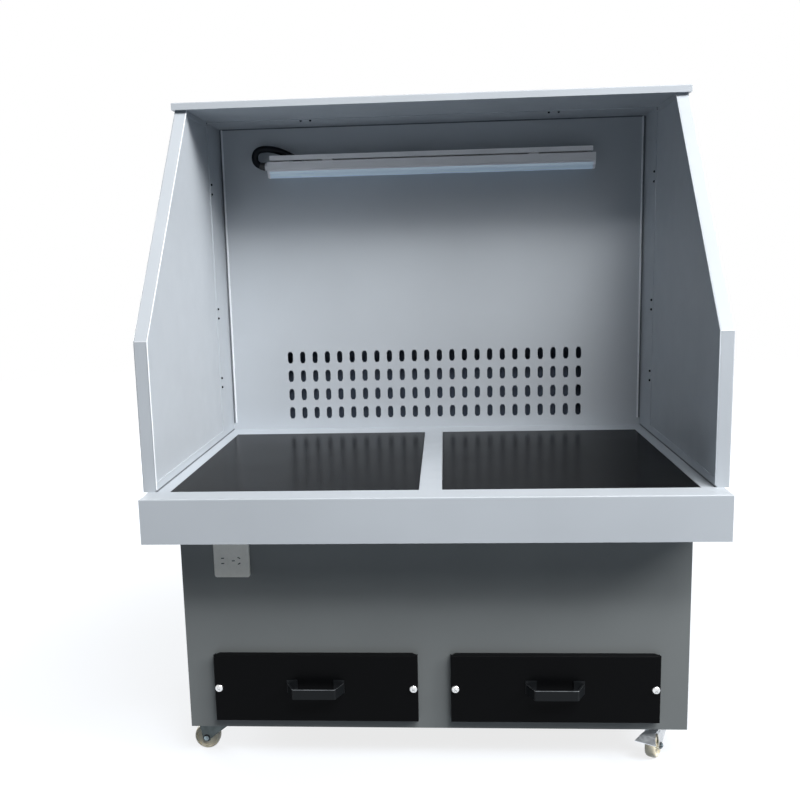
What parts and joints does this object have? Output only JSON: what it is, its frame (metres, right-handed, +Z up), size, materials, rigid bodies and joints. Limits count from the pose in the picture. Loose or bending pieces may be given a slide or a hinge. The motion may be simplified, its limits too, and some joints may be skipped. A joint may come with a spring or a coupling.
{
  "type": "downdraft table",
  "caption": "Mobile downdraft table: cabinet on casters with dust drawers, two lift-out black plates in the worktop, and a hood with slotted back panel, slanted wings, roof and lamp.",
  "frame": {"origin": "on the floor under the middle of the table", "axes": "+Z up, +X to the right of a person standing at the front, +Y from the front to the back"},
  "size_m": [1.33, 0.95, 1.64],
  "materials": {
    "light_grey_paint": "fine-textured satin powder coat",
    "dark_grey_paint": "fine-textured satin powder coat",
    "black_paint": "satin powder coat",
    "plate_black": "smooth semi-gloss coat",
    "zinc": "bright zinc plate",
    "bright_metal": "polished plate",
    "nylon": "natural cream nylon",
    "black_rubber": "matt sheath",
    "white_plastic": "smooth moulded",
    "lamp_metal": "white satin coat",
    "lens_plastic": "milky diffuser",
    "filter_cloth": "pleated polyester",
    "grey_motor": "painted castings",
    "grey_plastic": "moulded"
  },
  "bodies": {
    "table": {"worktop_frame": "light_grey_paint", "worktop_pan": "light_grey_paint", "plate_ledges": "light_grey_paint", "wing_left": "light_grey_paint", "wing_right": "light_grey_paint", "wing_left_skin": "light_grey_paint", "wing_right_skin": "light_grey_paint", "back_panel": "light_grey_paint", "duct_cover": "light_grey_paint", "roof": "light_grey_paint", "roof_lining": "light_grey_paint", "hood_screws": "zinc", "motor_stand": "zinc", "drawer_runners": "zinc", "fan_casing": "zinc", "cabinet_shell": "dark_grey_paint", "cabinet_front": "dark_grey_paint", "cabinet_rear": "dark_grey_paint", "rear_panel": "dark_grey_paint", "filter_partition": "dark_grey_paint", "lamp_body": "lamp_metal", "lamp_bracket": "lamp_metal", "lamp_lens": "lens_plastic", "lamp_end_caps": "white_plastic", "socket_plate": "white_plastic", "socket_box": "white_plastic", "lamp_lead": "black_rubber", "lead_grommet": "black_rubber", "mains_gland": "grey_plastic", "filter_cartridges": "filter_cloth", "caster_plates": "zinc", "fan_motor": "grey_motor"},
    "drawer_left": {"drawer_front_left": "black_paint", "drawer_tray_left": "black_paint", "drawer_handle_left": "black_paint"},
    "drawer_right": {"drawer_front_right": "black_paint", "drawer_tray_right": "black_paint", "drawer_handle_right": "black_paint"},
    "lifting_plate_left": {"plate_left": "plate_black"},
    "lifting_plate_right": {"plate_right": "plate_black"},
    "impeller": {"fan_impeller": "zinc"},
    "lock_1": {"lock_screw_1": "bright_metal"},
    "lock_2": {"lock_screw_2": "bright_metal"},
    "lock_3": {"lock_screw_3": "bright_metal"},
    "lock_4": {"lock_screw_4": "bright_metal"},
    "fork_front_left": {"caster_fork_front_left": "zinc"},
    "wheel_front_left": {"caster_wheel_front_left": "nylon"},
    "fork_front_right": {"caster_fork_front_right": "zinc"},
    "wheel_front_right": {"caster_wheel_front_right": "nylon"},
    "pedal_front_right": {"brake_pedal_front_right": "zinc"},
    "fork_rear_left": {"caster_fork_rear_left": "zinc"},
    "wheel_rear_left": {"caster_wheel_rear_left": "nylon"},
    "fork_rear_right": {"caster_fork_rear_right": "zinc"},
    "wheel_rear_right": {"caster_wheel_rear_right": "nylon"},
    "pedal_rear_right": {"brake_pedal_rear_right": "zinc"}
  },
  "joints": [
    {"name": "drawer_left_slide", "type": "slide", "parent": "table", "child": "drawer_left", "axis": [0, -1, 0], "range_m": [0, 0.4]},
    {"name": "drawer_right_slide", "type": "slide", "parent": "table", "child": "drawer_right", "axis": [0, -1, 0], "range_m": [0, 0.4]},
    {"name": "lock_1_turn", "type": "hinge", "parent": "drawer_left", "child": "lock_1", "pos_m": [-0.525, -0.349, 0.2025], "axis": [0, -1, 0], "continuous": true},
    {"name": "lock_2_turn", "type": "hinge", "parent": "drawer_left", "child": "lock_2", "pos_m": [-0.0505, -0.349, 0.2025], "axis": [0, -1, 0], "continuous": true},
    {"name": "lock_3_turn", "type": "hinge", "parent": "drawer_right", "child": "lock_3", "pos_m": [0.0505, -0.349, 0.2025], "axis": [0, -1, 0], "continuous": true},
    {"name": "lock_4_turn", "type": "hinge", "parent": "drawer_right", "child": "lock_4", "pos_m": [0.525, -0.349, 0.2025], "axis": [0, -1, 0], "continuous": true},
    {"name": "plate_left_lift", "type": "slide", "parent": "table", "child": "lifting_plate_left", "axis": [0, 0, 1], "range_m": [0, 0.3]},
    {"name": "plate_right_lift", "type": "slide", "parent": "table", "child": "lifting_plate_right", "axis": [0, 0, 1], "range_m": [0, 0.3]},
    {"name": "impeller_spin", "type": "hinge", "parent": "table", "child": "impeller", "pos_m": [0, 0.298, 0.3], "axis": [1, 0, 0], "continuous": true},
    {"name": "swivel_front_left", "type": "hinge", "parent": "table", "child": "fork_front_left", "pos_m": [-0.552, -0.262, 0.08], "axis": [0, 0, 1], "continuous": true},
    {"name": "spin_front_left", "type": "hinge", "parent": "fork_front_left", "child": "wheel_front_left", "pos_m": [-0.584, -0.262, 0.0325], "axis": [0, -1, 0], "continuous": true},
    {"name": "swivel_front_right", "type": "hinge", "parent": "table", "child": "fork_front_right", "pos_m": [0.552, -0.262, 0.08], "axis": [0, 0, 1], "continuous": true},
    {"name": "spin_front_right", "type": "hinge", "parent": "fork_front_right", "child": "wheel_front_right", "pos_m": [0.536, -0.28971, 0.0325], "axis": [0.866, -0.5, 0], "continuous": true},
    {"name": "pedal_front_right_press", "type": "hinge", "parent": "fork_front_right", "child": "pedal_front_right", "pos_m": [0.5315, -0.29751, 0.073], "axis": [0.866, -0.5, 0], "range_deg": [0, 7], "stiffness_Nm_per_rad": 0.4, "springref_deg": -6.88},
    {"name": "swivel_rear_left", "type": "hinge", "parent": "table", "child": "fork_rear_left", "pos_m": [-0.552, 0.398, 0.08], "axis": [0, 0, 1], "continuous": true},
    {"name": "spin_rear_left", "type": "hinge", "parent": "fork_rear_left", "child": "wheel_rear_left", "pos_m": [-0.584, 0.398, 0.0325], "axis": [0, -1, 0], "continuous": true},
    {"name": "swivel_rear_right", "type": "hinge", "parent": "table", "child": "fork_rear_right", "pos_m": [0.552, 0.398, 0.08], "axis": [0, 0, 1], "continuous": true},
    {"name": "spin_rear_right", "type": "hinge", "parent": "fork_rear_right", "child": "wheel_rear_right", "pos_m": [0.536, 0.37029, 0.0325], "axis": [0.866, -0.5, 0], "continuous": true},
    {"name": "pedal_rear_right_press", "type": "hinge", "parent": "fork_rear_right", "child": "pedal_rear_right", "pos_m": [0.5315, 0.36249, 0.073], "axis": [0.866, -0.5, 0], "range_deg": [0, 7], "stiffness_Nm_per_rad": 0.4, "springref_deg": -6.88}
  ]
}
